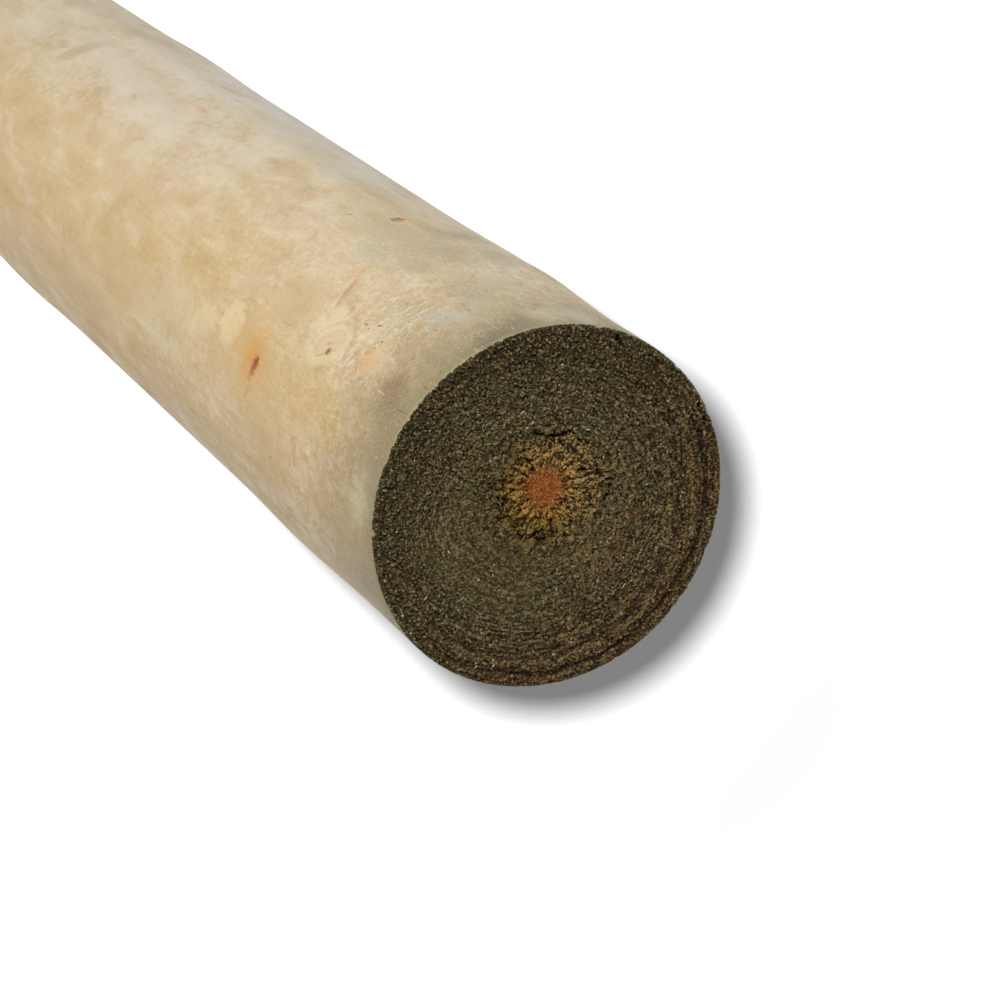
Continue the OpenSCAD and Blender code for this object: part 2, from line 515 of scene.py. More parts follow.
def reliefTree():
    names = endSizes | sideSizes
    net, given = newTree("poleRelief", {
        **dict.fromkeys(names, "Float"), "Sawn wood": "Material", "Peeled wood": "Material"})
    size = {key: given[name] for name, key in names.items()}

    topEnd, buttEnd = net.named("topEnd"), net.named("buttEnd")
    outward, share = net.named("outward", "FLOAT_VECTOR"), net.named("share")
    position = net.node("GeometryNodeInputPosition")
    fromTop = vector("SUBTRACT", position, tuple(topCentre))
    local = scaled(fromTop, 1 / mm)
    shifted = vector("ADD", local, join(*[buttEnd * shift for shift in sawnEnd["buttShift"]], 0.0))
    field = sawnField(shifted, size)

    # the very edge is bitten and stays lower than the face
    bite = fade(noise(local, 0.34, 2.0, 0.6), 0.55, 0.68)
    rim = fade(share, 0.975, 1.0)
    ends = field.height * (1 - rim * 0.6) - rim * bite * size["rimBite"]
    ends = ends * topEnd + least(ends - 0.25, 0.0) * buttEnd

    x, y, z = parts(local)
    grain = noise(join(x, y, z * 0.05), 0.16, 2.0) - 0.5
    flats = noise(join(x, y, z * 0.6), 0.03, 1.0) - 0.5
    nearRim = fade(z, -2.2, -0.3)
    side = (grain * 2 * size["ripple"] + flats * 2 * size["flats"]
            - nearRim * bite * size["rimBite"] * 0.7)
    lift = ends + side * (1 - least(topEnd + buttEnd, 1.0))

    moved = net.node("GeometryNodeSetPosition", {
        "Geometry": given["Geometry"], "Offset": scaled(outward, lift * mm)})
    done = net.node("GeometryNodeRealizeInstances", {"Geometry": moved})
    peeled = net.node("GeometryNodeSetMaterial", {"Geometry": done, "Material": given["Peeled wood"]})
    both = net.node("GeometryNodeSetMaterial", {
        "Geometry": peeled, "Selection": net.named("sawn", "BOOLEAN"), "Material": given["Sawn wood"]})
    return endTree(both)


def runTree(piece, tree, values):
    # puts the tree on the piece, sets its inputs by identifier and keeps the plain mesh that comes out
    modifier = piece.modifiers.new(tree.name, "NODES")
    modifier.node_group = tree
    for item in tree.interface.items_tree:
        if item.in_out == "INPUT" and item.name in values:
            modifier[item.identifier] = values[item.name]
    bpy.context.view_layer.update()
    evaluated = piece.evaluated_get(bpy.context.evaluated_depsgraph_get())
    finished = bpy.data.meshes.new_from_object(
        evaluated, preserve_all_data_layers=True, depsgraph=bpy.context.evaluated_depsgraph_get())
    piece.modifiers.remove(modifier)
    piece.data = finished


def newMaterial(name):
    material = bpy.data.materials.new(name)
    material.use_nodes = True
    shader = material.node_tree.nodes["Principled BSDF"]
    return material, Net(material.node_tree), shader


def bumpOf(height, strength=1.0):
    # height is in millimetres
    return height.net.node("ShaderNodeBump", {
        "Strength": strength, "Distance": mm, "Height": height}, "Normal")


def localPlace(net):
    # object coordinates in millimetres, from the middle of the top end
    where = net.node("ShaderNodeTexCoord", None, "Object")
    return net.node("ShaderNodeMapping", {
        "Vector": where, "Location": [-v / mm for v in topCentre], "Scale": (1 / mm, 1 / mm, 1 / mm)},
        vector_type="POINT")


# Sawn end: dark olive brown, stained by the treatment, with a tan heart and an orange pith
endColours = palette(
    pit=(10, 8, 4), body=(85, 72, 46), olive=(80, 75, 48), brown=(95, 68, 40),
    tuft=(190, 164, 106), tuftCool=(174, 168, 132), tuftDark=(58, 50, 32),
    rust=(124, 74, 42), greenish=(70, 84, 58), moss=(98, 92, 54), gold=(206, 154, 80),
    goldPale=(214, 180, 124), goldDeep=(140, 98, 46), straw=(140, 118, 66),
    slit=(13, 9, 5), pith=(162, 94, 46), pithDark=(96, 48, 22), pithPale=(206, 132, 66))


def sawnMaterial():
    material, net, shader = newMaterial("sawnEnd")
    place = localPlace(net)
    flat = vector("MULTIPLY", place, (1.0, 1.0, 0.0))
    field = sawnField(flat, sawnEnd)
    x, y, c = field.x, field.y, endColours
    fine = noise(flat, 2.1, 2.0, 0.6, 0.1, "2D") - 0.5
    hair = noise(flat, 5.0, 1.0, 0.5, space="2D") - 0.5
    tint = noise(vector("ADD", flat, (70.0, 20.0, 0.0)), 1.5, 2.0, 0.6, space="2D") - 0.5
    hue = noise(flat, 0.1, 3.0, 0.62, space="2D")
    warm = noise(flat, 0.16, 3.0, 0.6, 0.6, "2D")
    patch = noise(flat, 0.9, 2.0, 0.6, space="2D")
    # grains: small torn tufts, roughly in the rows that the saw left
    lattice = join(field.rowAxis, field.rowAlong * 0.8, 0.0)
    grain = noise(lattice, 1 / sawnEnd["grainSize"], 3.0, 0.62, 0.3, "2D") - 0.5
    tone = noise(flat, 0.7, 1.0, space="2D") - 0.5
    rough = (1 - field.smooth * 0.45) * (1 - field.pithDisc * 0.85)
    rays = noise(join(field.ux * 12, field.uy * 12, field.reach * 0.35), 1.0, 2.0, 0.6) - 0.5
    # top is high where the relief is raised and low in its pits; the colour below follows it as painted
    # highlight and painted shade
    top = grain * 0.85 + field.tuft * 0.5 + field.clump * 0.25
    top = top - field.arcs * field.ringAmount * 0.4

    def lay(amount, name):
        # one more colour over the ground of the wood
        nonlocal body
        body = mix(amount, body, c[name])

    body = mix(fade(hue, 0.42, 0.6), c["body"], c["olive"])
    browner = fade(field.ringAt, 0.6, 0.98) * fade(x * 0.1 + y + field.broad * 40, -14, 30)
    lay(least(browner * 0.95 + fade(warm, 0.55, 0.7) * 0.4, 1.0), "brown")
    inner = fade(field.ringAt + field.broad * 0.3, 0.5, 0.26)
    lay(inner * 0.18, "straw")
    # growth rings, dark late wood and pale early wood
    bands = field.ring * 0.7 + field.ringFine + tone * 0.25
    banded = field.ringAmount * (0.65 + fade(hue + tone * 0.3, 0.56, 0.42) * 0.35)
    lay(fade(bands, 0.02, 0.2) * banded * 0.58, "pit")
    lay(fade(bands, -0.04, -0.2) * banded * 0.32, "tuft")
    # broken arcs along the rings, calmer near the rim
    arcAmount = field.ringAmount * fade(field.reach, 15, 22)
    arcAmount = arcAmount * (1 - fade(field.ringAt, 0.74, 0.86) * 0.45)
    lay(fade(field.arcs, 0.03, 0.16) * arcAmount * 0.5, "pit")
    lay(fade(field.arcs, -0.03, -0.16) * arcAmount * 0.3, "tuft")
    # zones from the heart out to the rim
    zoneAt, torn = field.ringAt + field.broad * 0.25, 1 - field.smooth * 0.95
    lay(fade(zoneAt, 0.6, 0.4) * torn * 0.16, "tuft")
    lit = fade(field.uy - field.ux * 0.7, 0.1, 0.9)
    lay(fade(zoneAt, 0.68, 0.5) * torn * lit * 0.14, "tuft")
    lay(fade(field.ringAt, 0.6, 0.36) * field.smooth * 0.14, "pit")
    outerZone = fade(field.ringAt + field.broad * 0.2, 0.64, 0.84)
    shaded = 0.06 + fade(-x - y, -10, 60) * 0.24 - fade(field.uy, 0.3, 0.9) * 0.06
    lay(outerZone * shaded, "pit")
    greenZone = fade(field.ringAt + field.broad * 0.35 + tone * 0.1, 0.78, 0.66)
    greenZone = greenZone * (0.45 + fade(hue, 0.42, 0.56) * 0.55)
    lay(greenZone * 0.42, "moss")
    # ridges, tufts, pits and rust; on the ridges, tufts and pits the colour follows the relief, as painted
    # highlight and painted shade
    # the pair of ridges is painted paler and the gap between them darker: partly ring colour, partly painted
    # highlight and painted shade
    lay(field.between * 0.5, "pit")
    lay(field.ridges * 0.32, "tuft")
    lay(fade(tone, 0.02, 0.16) * 0.4 * rough, "tuftDark")
    # the raised tuft tops are painted paler: partly the torn fibres' own colour, partly painted highlight
    cool = most(fade(patch, 0.46, 0.56), greenZone * 0.5)
    tuftHighlightColour = mix(cool, c["tuft"], c["tuftCool"])
    body = mix(fade(top, 0.05, 0.19) * (0.3 + rough * 0.5), body, tuftHighlightColour)
    lay(fade(tint, 0.04, 0.18) * 0.42, "rust")
    lay(fade(tint, -0.04, -0.18) * 0.42, "greenish")
    # painted shade: where the relief is low the end is painted near black, the shade that falls in the pits
    pitShade = fade(top, -0.05, -0.12) * (0.3 + rough * 0.63)
    lay(pitShade, "pit")
    rustSpots = fade(noise(flat, 0.3, 3.0, 0.6, space="2D"), 0.56, 0.7)
    rustSpots = rustSpots * fade(y - x * 0.35, 2, 26)
    streak = fade(abs(field.reach - 31 - field.broad * 10 + fine * 9), 4.0, 0.5) \
        * fade(field.uy, 0.82, 0.97) * fade(warm, 0.44, 0.56)
    lay(most(rustSpots * 0.35, streak * 0.5) * (1 - pitShade), "rust")

    # the tan heart, torn along its rays
    bright = fade(field.ux * -0.9 + field.uy * 0.25, -0.5, 0.9)
    heartAt = field.reach + field.grit * 8 + tone * 8
    heartWood = mix(fade(heartAt, 7, 14), c["gold"], c["straw"])
    heartWood = mix(bright * 0.75 * fade(patch + top * 0.4, 0.4, 0.58), heartWood, c["goldPale"])
    heartWood = mix(fade(fine + field.chip * 0.25, 0.04, -0.14) * 0.7, heartWood, c["goldDeep"])
    # painted shade: the low parts of the heart's rays are painted deeper gold and the gaps between its chips
    # near black
    rayShade = fade(rays, -0.04, -0.18) * fade(field.reach, 13, 7)
    heartWood = mix(rayShade * 0.7, heartWood, c["goldDeep"])
    heartGapShade = rays + fine * 0.45 + grain * 0.6 + field.tuft * 0.3 - fade(field.reach, 6, 14) * 0.03
    heartWood = mix(fade(heartGapShade, -0.06, -0.15) * 0.94, heartWood, c["slit"])
    colour = mix(most(field.heart, fade(field.reach, 11, 7)), body, heartWood)
    # the orange pith, with a tongue to one side
    pithWood = mix(fade(fine + field.grit * 0.5, -0.12, 0.08), c["pithDark"], c["pith"])
    pithWood = mix(fade(hair + fine, 0.06, 0.2) * 0.7, pithWood, c["pithPale"])
    tongue = fade(abs(x * 0.84 + y * 0.55 + 6.6 + fine * 4), 1.9, 0.4) * fade(
        abs(x * 0.55 - y * 0.84 - 8.0), 5.0, 2.4)
    halo = fade(field.reach + field.grit * 3, 8.6, 5.4) * 0.55
    colour = mix(most(field.pithDisc, most(tongue * 0.75, halo)), colour, pithWood)
    # slits, cracks and the groove are painted dark: painted shade in these cuts of the relief
    colour = mix(most(field.slit * 0.9, field.crack * 0.97), colour, c["slit"])
    colour = mix(field.groove * 0.66, colour, c["pit"])
    ridge = grain * 2 * sawnEnd["grainHeight"] * rough + field.rows * sawnEnd["rowHeight"] \
        + (fine * 0.42 + hair * 0.08) * (0.55 + rough * 0.45) \
        + field.ringFine * 0.3 * field.ringAmount + rays * 0.9 * field.heart
    net.feed(shader, {
        "Base Color": colour, "Roughness": sawnEnd["roughness"] + fine * 0.3,
        "Normal": bumpOf(ridge), "Specular IOR Level": sawnEnd["shine"]})
    return material


# The peeled side
peeledSide = dict(
    ripple=0.1, flats=0.08, warmSide=310, roughness=0.58, shine=0.2,
    # wear and stains thicken towards the end: how far down each begins, and where it is full
    worn=(260, 90), handled=(130, 40), greyed=(66, 2), greened=(12, 0),
    strokes=(49, 256, 27, 23),                                     # distance down, angle and half sizes
    knotRing=(11.6, 7.7), knotCore=(7.2, 4.3), knotSwirl=(14, 9))  # half sizes
# Marks on it: distance down, angle, half sizes, turn, colour, strength and softness. The long strips between
# 201 and 235 degrees are painted light and painted shade along the far side: paler where the lamps leave a
# darker band, greyer towards the edge
sideMarksAndPaintedLight = [
    (136, 287, 12, 8.5, 14, (232, 210, 164), 0.8, 0.35),
    (158, 292, 20, 7, 14, (228, 207, 164), 0.6, 0.7),
    (140, 270, 14, 9, 0, (206, 180, 144), 0.5, 0.9),
    # painted light, this row and the next: long pale strips along the far side
    (320, 220, 150, 11, 0, (234, 222, 200), 0.6, 0.95),
    (262, 201, 230, 20, 0, (206, 204, 194), 0.72, 0.95),
    (100.8, 209, 9, 2.4, -70, (140, 136, 110), 0.6, 0.95),
    (101, 209, 16, 13, -70, (156, 150, 126), 0.75, 0.95),
    (196, 312, 42, 13, 0, (220, 202, 164), 0.78, 0.95),
    (98, 240, 17, 9, 0, (174, 160, 130), 0.5, 0.95),
    (250, 256, 27, 9, 0, (220, 206, 178), 0.6, 0.95),
    (254, 318, 28, 9, 0, (210, 190, 154), 0.55, 0.95),
    (4, 290, 7, 17, 0, (140, 122, 86), 0.5, 0.95),
    (194, 297, 36, 20, 0, (216, 196, 162), 0.6, 0.9),
    # painted light: a long pale strip along the far side
    (350, 235, 170, 21, 0, (228, 216, 197), 0.55, 0.95),
    (100, 269, 20, 16, 0, (196, 167, 120), 0.66, 0.95),
    (13, 308, 12, 13, 0, (202, 186, 150), 0.7, 0.95),
    (3, 240, 10, 12, 0, (112, 103, 78), 0.75, 0.95),
    (12, 220, 12, 8, 0, (206, 196, 166), 0.6, 0.95),
    (11, 209, 15, 9, 0, (196, 190, 166), 0.6, 0.95),
    (42, 231, 28, 10, 0, (174, 166, 139), 0.5, 0.95),
    (32, 243, 19, 6, 24, (190, 188, 162), 0.62, 0.95),
    (40, 221, 15, 9, 0, (184, 180, 150), 0.5, 0.95),
    (14, 336, 15, 8, 0, (134, 132, 92), 0.45, 0.95),
    (76, 236, 20, 11, 0, (178, 163, 132), 0.45, 0.95),
    (77, 207, 20, 12, 0, (168, 158, 130), 0.66, 0.95),
    (104, 296, 60, 22, 0, (204, 174, 120), 0.55, 0.9),
    (74, 268, 17, 13, 0, (232, 212, 178), 0.55, 0.7),
    (112, 290, 26, 12, -10, (212, 166, 98), 0.75, 0.95),
    (110, 292.4, 12, 9, 60, (214, 148, 74), 0.8, 0.95),
    (108.6, 302.5, 4, 1.6, 50, (206, 140, 78), 0.5, 0.8),
    (107.4, 293.8, 4.8, 3.4, 64, (162, 88, 40), 0.95, 0.6),
    (106.4, 291.6, 2.1, 1.4, 64, (132, 60, 30), 0.9, 0.5),
    (121.3, 221.9, 3.0, 3.0, 29, (62, 44, 34), 0.95, 0.35),
    (120.0, 221.9, 1.9, 2.1, 29, (226, 104, 40), 0.95, 0.4),
    (426.5, 243.2, 10, 3.6, -6, (206, 154, 102), 0.6, 0.95),
    (421, 244.4, 4, 1.4, 30, (184, 126, 78), 0.6, 0.9),
    (407, 233.8, 17, 5, 25, (184, 164, 138), 0.35, 0.95),
    (289.6, 231, 10, 2.6, -4, (208, 150, 120), 0.5, 0.9),
    (300, 238, 16, 5, 0, (216, 182, 158), 0.4, 0.9),
    (82.6, 256.8, 11, 2.0, -60, (182, 126, 78), 0.68, 0.95),
    (80.5, 256.5, 9, 3.8, -60, (200, 158, 112), 0.5, 0.9),
    (71, 259.5, 3.4, 1.4, -40, (206, 132, 84), 0.45, 0.8),
    (51.3, 258.8, 1.5, 0.5, 20, (110, 76, 50), 0.8, 0.6),
    (57.6, 260.9, 1.0, 0.6, 0, (120, 84, 56), 0.8, 0.6),
    (54.6, 261.6, 0.8, 0.5, 0, (130, 92, 62), 0.7, 0.6),
    (42.7, 262.3, 0.62, 0.5, 0, (66, 64, 66), 0.9, 0.5),
    (44.9, 268.0, 0.8, 0.45, 30, (92, 84, 80), 0.8, 0.5),
    (117.5, 314.7, 9, 3.4, 0, (160, 146, 128), 0.36, 0.9),
    (15, 274, 16, 9, -35, (134, 112, 78), 0.75, 0.9),
    (19, 269, 9, 5, 30, (128, 108, 80), 0.5, 0.9),
    (7, 231, 13, 10, 0, (128, 117, 88), 0.75, 0.9),
    (55, 250, 22, 10, 0, (188, 170, 134), 0.45, 0.9),
    (400, 254, 45, 14, 0, (224, 208, 180), 0.6, 0.9),
    (64, 281, 9, 4, 20, (180, 150, 100), 0.4, 0.9),
    (58, 290, 30, 14, 0, (200, 166, 108), 0.5, 0.95),
    (7, 283, 9, 16, 0, (146, 128, 92), 0.5, 0.9),
    (40, 268, 12, 7, 0, (222, 180, 128), 0.6, 0.9),
    (28, 318, 30, 10, 0, (178, 152, 108), 0.5, 0.9),
    (88, 315, 34, 18, 0, (196, 168, 120), 0.55, 0.9),
    (78, 221, 20, 8, 0, (170, 150, 122), 0.6, 0.9),
    (92, 226, 58, 18, 0, (180, 164, 130), 0.65, 0.95),
    # painted shade, this row and the next: long grey strips towards the far edge
    (200, 215, 150, 11, 0, (174, 166, 142), 0.36, 0.95),
    (440, 212, 170, 12, 0, (170, 162, 144), 0.34, 0.95),
    (300, 246, 110, 17, 0, (226, 210, 186), 0.45, 0.9),
    (38, 341, 9, 1.3, -34, (206, 138, 82), 0.6, 0.8),
    (250, 300, 70, 14, 4, (202, 172, 126), 0.45, 0.9),
    (330, 318, 110, 12, 0, (196, 166, 122), 0.45, 0.9),
    (6.0, 275.2, 3.6, 0.16, 6, (58, 46, 34), 0.85, 0.6),
    (3.4, 265.4, 3.8, 0.17, 2, (70, 54, 38), 0.8, 0.6),
    (4.6, 251.2, 5.2, 0.15, 4, (110, 84, 58), 0.75, 0.6),
    (12, 271.2, 9, 0.14, 12, (96, 78, 58), 0.5, 0.7),
    (97.5, 275.6, 8.0, 0.2, 5, (150, 128, 98), 0.7, 0.7),
    (59.4, 286.2, 8.2, 0.18, 17, (168, 144, 112), 0.6, 0.7),
    (23.5, 274.5, 3.8, 0.3, 2, (226, 218, 202), 0.7, 0.7)]


def markDistance(x, y, down, at, angle, halfLong, halfWide, turn=0):
    # 0 in the middle of a mark, 1 at its edge; far off on the other side of the pole
    centre = (Vector(sectionAt(at * mm)[1:3]) - topCentre.xy) / mm
    facing, across = turned(x - centre.x, y - centre.y, angle)
    u, v = turned(down - at, across, turn)
    return oval(u, v, (halfLong, halfWide)) + fade(facing, 5.0, 0.0) * 9


sideColours = palette(
    base=(213, 190, 148), pale=(226, 209, 177), tan=(205, 172, 115),
    pink=(212, 178, 140), brown=(180, 148, 102), grey=(144, 128, 94),
    green=(124, 117, 84), white=(238, 229, 208), cream=(222, 203, 160),
    core=(214, 189, 154), coreLine=(194, 164, 128), fringe=(206, 194, 150),
    shade=(112, 96, 66), dark=(88, 90, 88), dot=(92, 74, 56), orange=(212, 152, 104),
    sawn=(48, 41, 25))


def peeledMaterial():
    material, net, shader = newMaterial("peeledSapwood")
    place = localPlace(net)
    x, y, z = parts(place)
    down = -z
    c = sideColours
    cloud = noise(join(x, y, z * 0.6), 0.024, 3.0, 0.5, 0.5)
    tint = noise(join(x + 90, y, z * 0.45), 0.04, 3.0, 0.55, 0.3)
    mottle = noise(join(x, y, z * 0.4), 0.1, 3.0, 0.55, 0.4) - 0.5
    blotch = noise(join(x, y + 40, z * 0.7), 0.34, 3.0, 0.62) - 0.5
    grit = noise(place, 1.3, 2.0, 0.7) - 0.5
    grain = noise(join(x, y, z * 0.06), 0.6, 2.0, 0.6, 0.3) - 0.5
    fibre = noise(join(x, y, z * 0.16), 1.5, 2.0, 0.6) - 0.5
    hoops = noise(join(x * 0.22, y * 0.22, z + x * 0.1), 0.85, 2.0, 0.6, 0.2) - 0.5

    def lay(amount, name):
        # one more colour over what is there
        nonlocal colour
        colour = mix(amount, colour, c[name])

    def twoTone(value, near, far, where, brown, white):
        # browner where the value is high and whiter where it is low
        lay(fade(value, near, far) * where * brown, "brown")
        lay(fade(value, -near, -far) * where * white, "white")

    # one side is warmer than the other, and the wood is cleaner away from the end
    worn = 0.4 + fade(down, *peeledSide["worn"]) * 0.6
    warmSide = math.radians(peeledSide["warmSide"])
    warmth = (x * math.cos(warmSide) + y * math.sin(warmSide)) * (mm / topRadius)
    colour = mix(fade(cloud, 0.4, 0.6), c["base"], c["pale"])
    lay(fade(warmth, 0.3, 1.0) * 0.75, "tan")
    lay(fade(tint, 0.52, 0.66) * 0.34, "tan")
    lay(fade(tint, 0.47, 0.34) * 0.5, "pink")
    lay(fade(mottle, 0.01, 0.24) * (0.14 + worn * 0.28), "brown")
    lay(fade(mottle, -0.02, -0.18) * 0.4, "pale")
    twoTone(blotch, 0.02, 0.2, worn, 0.34, 0.34)
    twoTone(grain, 0.04, 0.24, worn, 0.16, 0.16)
    lay(fade(hoops, 0.06, 0.24) * worn * 0.14, "white")
    # handling has marked the first hand's breadth
    handled = fade(down + mottle * 50, *peeledSide["handled"])
    smudge = noise(join(x, y + 70, z * 0.5), 0.7, 2.0, 0.6, 0.2) - 0.5
    twoTone(smudge, 0.0, 0.2, handled, 0.28, 0.32)
    twoTone(blotch, 0.0, 0.2, handled, 0.3, 0.26)
    patchy = noise(join(x + 30, y, z * 0.6), 0.19, 2.0, 0.55, 0.3) - 0.5
    twoTone(patchy, 0.0, 0.16, handled, 0.26, 0.24)
    nearEnd = fade(down + mottle * 60 + grain * 20, *peeledSide["greyed"])
    lay(nearEnd * 0.82, "grey")
    lay(fade(grit + blotch * 0.4, -0.02, -0.26) * nearEnd * 0.5, "shade")
    greened = fade(down + mottle * 30 + grain * 16 + blotch * 14, *peeledSide["greened"])
    lay(greened * 0.5, "green")

    shake = blotch * 1.4 + grit * 0.6 + mottle * 0.9
    # the marks, and the long strips that are painted light and shade
    for *where, tone, amount, soft in sideMarksAndPaintedLight:
        distance = markDistance(x, y, down, *where) + shake * (0.4 + soft * 0.6)
        colour = mix(fade(distance, 1.0, 1 - soft) * amount, colour, paint(*tone))

    # strokes round the pole where the peeler left the end, and flecks along the grain
    strokes = fade(markDistance(x, y, down, *peeledSide["strokes"]) + mottle * 3, 1.1, 0.3)
    scraped = fade(hoops + grit * 0.5 + blotch * 0.3, 0.06, 0.2) * strokes
    lay(scraped * 0.65, "white")
    flecks = fade(fibre + blotch * 0.35 + grit * 0.2, 0.18, 0.27) * fade(down + mottle * 60, 80, 30)
    lay(flecks * 0.26, "white")
    lay(fade(grit, 0.04, 0.26) * worn * 0.34, "white")
    lay(fade(grit, -0.04, -0.26) * worn * 0.34, "brown")

    # pin holes, a few in every hand's breadth
    specks = cells(place, 0.27)
    dotted = most(nearEnd * 0.45, handled * fade(x * -0.6 - y * 0.8, 15, 42) * 0.75)
    lay(fade(specks + grit * 0.12, 0.12, 0.07) * dotted, "dot")
    chosen = parts(cells(place, 0.12, "Color"))[0]
    lay(fade(cells(place, 0.12), 0.075, 0.04) * fade(chosen, 0.72, 0.76) * 0.6, "dot")

    # knots: an open one has a cream ring, a pale heart and a small pit; a healed one is a brown swirl
    offset = net.named("knotOffset", "FLOAT_VECTOR")
    near = net.named("knotNear")
    u, v, seed = parts(offset)
    opened = near * fade(seed, 0.34, 0.3)
    wave = blotch * 0.5
    ring = oval(u, v, peeledSide["knotRing"]) + wave
    core = oval(u - 0.9, v + 0.7, peeledSide["knotCore"]) + wave * 0.7
    lay(fade(ring, 1.06, 0.78) * opened * 0.62, "cream")
    brim = fade(abs(ring - 1.0), 0.14, 0.0) * opened * fade(v, 2.5, -4.0)
    lay(brim * 0.18, "brown")
    lines = noise(join(u * 0.16, v, seed * 9), 1.2, 2.0) - 0.5
    inside = mix(fade(lines, 0.0, 0.2) * 0.6, c["core"], c["coreLine"])
    colour = mix(fade(core, 1.08, 0.86) * opened * 0.75, colour, inside)
    lay(fade(abs(core - 0.98), 0.12, 0.0) * opened * 0.25, "coreLine")
    split = fade(abs(v - 2.9 + lines * 1.2), 0.3, 0.05) * fade(abs(u - 0.8), 6.0, 4.0)
    lay(split * opened * 0.3, "dark")
    pitAt = root((u + 0.2) * (u + 0.2) * 0.6 + (v - 2.6) * (v - 2.6)) + grit * 0.8
    lay(fade(pitAt, 1.25, 0.5) * opened * 0.8, "dark")
    nick = root((u - 0.6) * (u - 0.6) * 0.12 + (v + 0.2) * (v + 0.2)) + grit
    lay(fade(nick, 0.75, 0.2) * opened * 0.8, "orange")
    swirl = oval(u, v, peeledSide["knotSwirl"]) + mottle * 1.6
    healed = near * fade(seed, 0.3, 0.34) * fade(swirl, 1.0, 0.2)
    lay(healed * 0.5, "brown")
    wound = fade(sine(swirl * 16 + blotch * 6), 0.2, 1.0)
    lay(healed * wound * 0.35, "orange")

    # a pale frayed fringe at the saw cut, kept to the side that faces the key lamp: partly frayed fibres,
    # partly painted highlight along the lit edge, with the dark of the end showing between
    fringe = fade(down + grit * 4 + mottle * 5, 1.9, 0.3)
    fringe = fringe * fade(x * -0.35 - y * 0.94 + mottle * 60, 34, 50)
    lay(fringe * 0.28, "fringe")
    lay(fade(down + fibre * 1.6 + grit * 0.6, 0.42, 0.2), "sawn")
    height = grain * 0.22 + hoops * 0.1 + grit * 0.09 + fibre * 0.12 + blotch * 0.12 \
        + fade(ring, 1.1, 0.9) * opened * 0.14 - fade(pitAt, 1.5, 0.6) * opened * 0.6
    net.feed(shader, {
        "Base Color": colour, "Roughness": peeledSide["roughness"] + mottle * 0.3 + grain * 0.25,
        "Normal": bumpOf(height, 0.8), "Specular IOR Level": peeledSide["shine"]})
    return material


# Torn fibres: crumbs and slivers that the saw left on the end
fibres = {"Density": 90000.0, "Size": 0.42, "Stretch": 3.0, "Seed": 11}    # so many to the square metre


def fibreMaterial():
    material, net, shader = newMaterial("tornFibre")
    ramp = net.node("ShaderNodeValToRGB", {"Fac": net.named("fibreTone")})
    fillRamp(ramp.socket.node.color_ramp, [
        (0.0, paint(96, 84, 54)), (0.4, paint(150, 130, 92)), (0.65, paint(182, 154, 130)),
        (0.84, paint(200, 184, 164)), (0.95, paint(212, 208, 200)), (1.0, paint(230, 230, 230))])
    net.feed(shader, {"Base Color": ramp, "Roughness": 0.6})
    return material


def fibreTree():
    net, given = newTree("tornFibres", {
        "Density": "Float", "Size": "Float", "Stretch": "Float", "Seed": "Int", "Fibre": "Material"})
    points = net.node("GeometryNodeDistributePointsOnFaces", {
        "Mesh": given["Geometry"], "Density": given["Density"], "Seed": given["Seed"]},
        distribute_method="RANDOM")
    crumb = net.node("GeometryNodeMeshIcoSphere", {"Radius": 0.5 * mm, "Subdivisions": 1})

    def chance(low, high, step, kind="FLOAT"):
        made = net.node("FunctionNodeRandomValue", {"Seed": step}, data_type=kind)
        node = made.socket.node
        index = {"FLOAT": 1, "FLOAT_VECTOR": 0}[kind]
        node.inputs[index * 2].default_value = low
        node.inputs[index * 2 + 1].default_value = high
        return Wire(net, node.outputs[index])

    big = chance(0.0, 1.0, 1) ** 3.0
    long = chance(0.0, 1.0, 4) ** 5.0
    wide = given["Size"] * (0.5 + big)
    scale = join(wide * 0.8, wide, wide * (1.0 + long * given["Stretch"]))
    turn = chance((1.2, 0.0, 0.0), (1.75, 0.0, full), 2, "FLOAT_VECTOR")
    placed = net.node("GeometryNodeInstanceOnPoints", {
        "Points": points, "Instance": crumb, "Rotation": turn, "Scale": scale})
    toned = net.node("GeometryNodeStoreNamedAttribute", {
        "Geometry": placed, "Name": "fibreTone", "Value": chance(0.0, 1.0, 3) ** 1.5},
        data_type="FLOAT", domain="INSTANCE")
    real = net.node("GeometryNodeRealizeInstances", {"Geometry": toned})
    return endTree(net.node("GeometryNodeSetMaterial", {
        "Geometry": real, "Material": given["Fibre"]}))


def addObject(name, mesh):
    made = bpy.data.objects.new(name, mesh)
    scene.collection.objects.link(made)
    return made


# The pole
mesh, facts, sawn = poleMesh()
addAttributes(mesh, facts, sawn)
addLayout(mesh, facts)
print("pole: %d points, %d faces" % (len(mesh.vertices), len(mesh.polygons)))
pole = addObject("pinePole", mesh)
runTree(pole, reliefTree(), {
    **{name: sawnEnd[key] for name, key in endSizes.items()},
    **{name: peeledSide[key] for name, key in sideSizes.items()},
    "Sawn wood": sawnMaterial(), "Peeled wood": peeledMaterial()})
pole.data.shade_smooth()
print("pole: relief made")


# The torn fibres grow from a copy of the finished top end
def topFaces(source):
    count = len(source.polygons)
    centres, flags = np.zeros(count * 3), np.zeros(count, bool)
    source.polygons.foreach_get("center", centres)
    source.attributes["sawn"].data.foreach_get("value", flags)
    keep = flags & (centres.reshape(-1, 3)[:, 2] > poleTop - 5 * mm)
    faces = [tuple(source.polygons[i].vertices) for i in np.nonzero(keep)[0]]
    used = sorted({v for f in faces for v in f})
    renumber = {v: i for i, v in enumerate(used)}
    made = bpy.data.meshes.new("tornFibres")
    points = [source.vertices[v].co[:] for v in used]
    made.from_pydata(points, [], [[renumber[v] for v in f] for f in faces])
    return made


